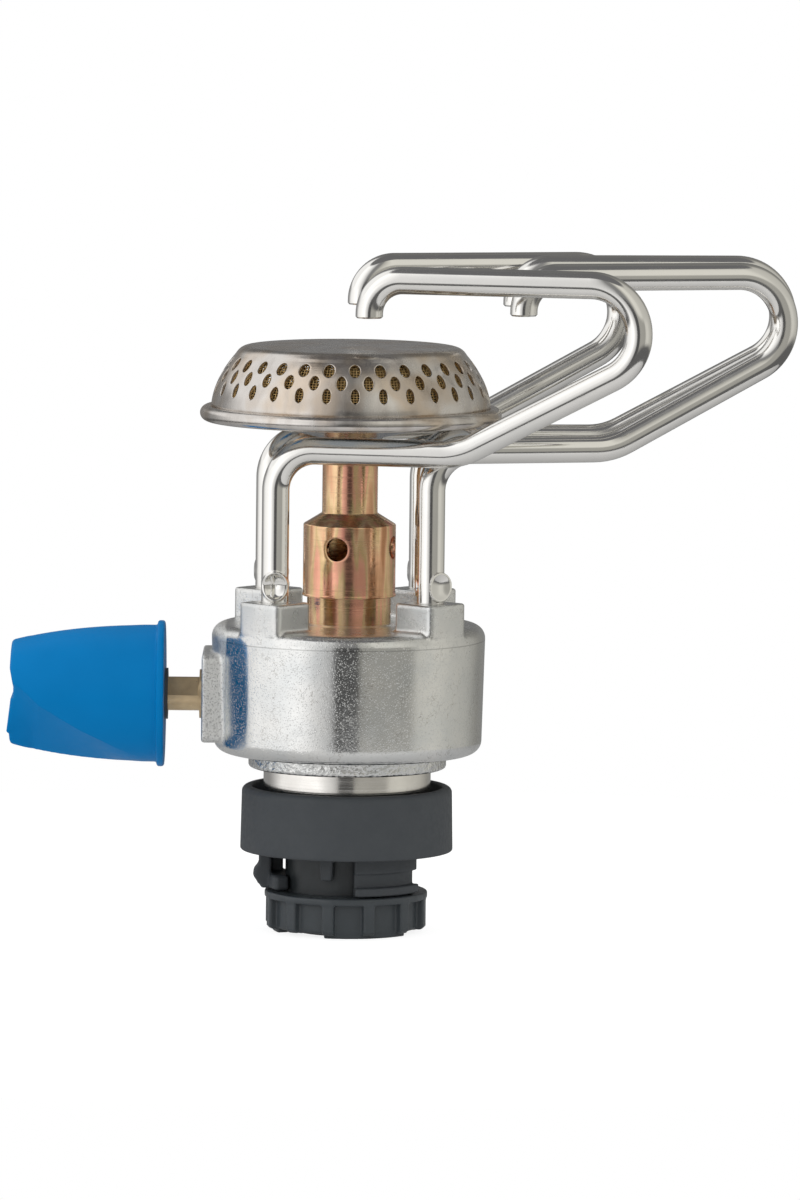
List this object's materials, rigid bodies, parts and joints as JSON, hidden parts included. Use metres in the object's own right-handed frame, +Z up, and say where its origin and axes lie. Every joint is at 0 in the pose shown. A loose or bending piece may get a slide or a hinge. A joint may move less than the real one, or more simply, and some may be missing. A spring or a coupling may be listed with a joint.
{
  "type": "camping gas stove",
  "caption": "Compact cartridge-top gas stove: cast valve body on a twist-lock connector, side knob, mixer tube, perforated round burner and folding bent-rod pot arms.",
  "frame": {"origin": "on the burner axis, in the mouth of the gas socket at the foot of the connector", "axes": "+Z up along the burner axis; the control knob points to -X and the folded pot arms point to +X"},
  "size_m": [0.1451, 0.0647, 0.1239],
  "materials": {
    "cast_zinc": "bright die cast, rough on the flange and the pad",
    "chromate_steel": "yellow chromate plating, glossy",
    "stainless": "satin",
    "arm_steel": "bright nickel plating",
    "blue_plastic": "satin moulded",
    "black_plastic": "moulded, satin",
    "grey_plastic": "moulded, fine spark texture",
    "brass": "turned",
    "wire_cloth": "woven wire",
    "sintered_bronze": "porous",
    "spring_steel": "oiled",
    "rubber": "matt"
  },
  "bodies": {
    "stove": {"valve_body": "cast_zinc", "mixer_tube": "chromate_steel", "gas_jet": "brass", "jet_filter": "sintered_bronze", "burner_bowl": "stainless", "burner_cap": "stainless", "burner_mesh": "wire_cloth", "gland_nut": "brass", "gland_o_ring": "rubber", "leg_snap_rings": "spring_steel", "connector_shroud": "grey_plastic", "coupling_core": "black_plastic", "wheel_circlip": "spring_steel", "inlet_probe": "brass", "inlet_seal": "rubber", "inlet_filter": "sintered_bronze"},
    "knob": {"valve_spindle": "brass", "control_knob": "blue_plastic", "knob_bush": "black_plastic"},
    "arm_front_left": {"front_left_arm": "arm_steel"},
    "arm_front_right": {"front_right_arm": "arm_steel"},
    "arm_rear_left": {"rear_left_arm": "arm_steel"},
    "arm_rear_right": {"rear_right_arm": "arm_steel"},
    "lock_wheel": {"coupling_wheel": "black_plastic"}
  },
  "joints": [
    {"name": "knob_turn", "type": "hinge", "parent": "stove", "child": "knob", "pos_m": [0, 0, 0.0435], "axis": [-1, 0, 0], "range_deg": [0, 300]},
    {"name": "front_left_swing", "type": "hinge", "parent": "stove", "child": "arm_front_left", "pos_m": [-0.01345, -0.01494, 0.062], "axis": [0, 0, 1], "range_deg": [-119.5, 0]},
    {"name": "front_right_swing", "type": "hinge", "parent": "stove", "child": "arm_front_right", "pos_m": [0.01494, -0.01345, 0.062], "axis": [0, 0, 1], "range_deg": [-57.5, 0]},
    {"name": "rear_left_swing", "type": "hinge", "parent": "stove", "child": "arm_rear_left", "pos_m": [-0.01494, 0.01345, 0.062], "axis": [0, 0, 1], "range_deg": [0, 123.4]},
    {"name": "rear_right_swing", "type": "hinge", "parent": "stove", "child": "arm_rear_right", "pos_m": [0.01345, 0.01494, 0.062], "axis": [0, 0, 1], "range_deg": [0, 40.5]},
    {"name": "lock_turn", "type": "hinge", "parent": "stove", "child": "lock_wheel", "pos_m": [0, 0, 0], "axis": [0, 0, 1], "range_deg": [0, 60]}
  ],
  "couplings": [
    {"joint": "front_right_swing", "follows": "front_left_swing", "ratio": 0.48},
    {"joint": "rear_right_swing", "follows": "rear_left_swing", "ratio": 0.328}
  ]
}
